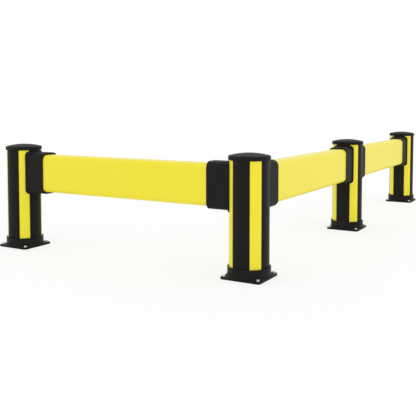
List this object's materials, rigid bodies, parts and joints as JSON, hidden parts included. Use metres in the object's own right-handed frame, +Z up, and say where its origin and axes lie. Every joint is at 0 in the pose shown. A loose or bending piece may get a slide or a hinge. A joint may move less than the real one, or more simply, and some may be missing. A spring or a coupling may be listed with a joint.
{
  "type": "crash protection barrier",
  "caption": "Floor-anchored crash protection barrier: round black bollard posts with yellow strips, on square feet, joined by deep yellow box rails in an L-shaped run.",
  "frame": {"origin": "on the floor under the middle of the corner post, at the underside of its foot plate", "axes": "+Z up along the posts, +Y along the long arm of two rails, -X along the short arm of one rail"},
  "size_m": [1.3974, 2.6114, 0.5628],
  "materials": {
    "black_post": "satin",
    "black_cap": "satin",
    "black_socket": "satin",
    "yellow_strip": "satin",
    "yellow_rail": "satin",
    "foot_steel": "black powder coat",
    "zinc_steel": "zinc plated",
    "inner_steel": "plain"
  },
  "bodies": {
    "root": {"base_plate_1": "foot_steel", "foot_collar_1": "foot_steel", "floor_anchors_1": "zinc_steel", "spigot_tube_1": "inner_steel", "post_tube_1": "black_post", "highlight_strips_1": "yellow_strip", "clamp_disc_1": "inner_steel", "tie_bolt_1": "zinc_steel", "post_cap_1": "black_cap", "base_plate_2": "foot_steel", "foot_collar_2": "foot_steel", "floor_anchors_2": "zinc_steel", "spigot_tube_2": "inner_steel", "post_tube_2": "black_post", "highlight_strips_2": "yellow_strip", "clamp_disc_2": "inner_steel", "tie_bolt_2": "zinc_steel", "post_cap_2": "black_cap", "base_plate_3": "foot_steel", "foot_collar_3": "foot_steel", "floor_anchors_3": "zinc_steel", "spigot_tube_3": "inner_steel", "post_tube_3": "black_post", "highlight_strips_3": "yellow_strip", "clamp_disc_3": "inner_steel", "tie_bolt_3": "zinc_steel", "post_cap_3": "black_cap", "base_plate_4": "foot_steel", "foot_collar_4": "foot_steel", "floor_anchors_4": "zinc_steel", "spigot_tube_4": "inner_steel", "post_tube_4": "black_post", "highlight_strips_4": "yellow_strip", "clamp_disc_4": "inner_steel", "tie_bolt_4": "zinc_steel", "post_cap_4": "black_cap", "rail_1": "yellow_rail", "rail_2": "yellow_rail", "rail_3": "yellow_rail", "rail_socket_1a": "black_socket", "socket_bolts_1a": "zinc_steel", "nut_plate_1a": "inner_steel", "rail_socket_1b": "black_socket", "socket_bolts_1b": "zinc_steel", "nut_plate_1b": "inner_steel", "rail_socket_2a": "black_socket", "socket_bolts_2a": "zinc_steel", "nut_plate_2a": "inner_steel", "rail_socket_2b": "black_socket", "socket_bolts_2b": "zinc_steel", "nut_plate_2b": "inner_steel", "rail_socket_3a": "black_socket", "socket_bolts_3a": "zinc_steel", "nut_plate_3a": "inner_steel", "rail_socket_3b": "black_socket", "socket_bolts_3b": "zinc_steel", "nut_plate_3b": "inner_steel"}
  },
  "joints": []
}
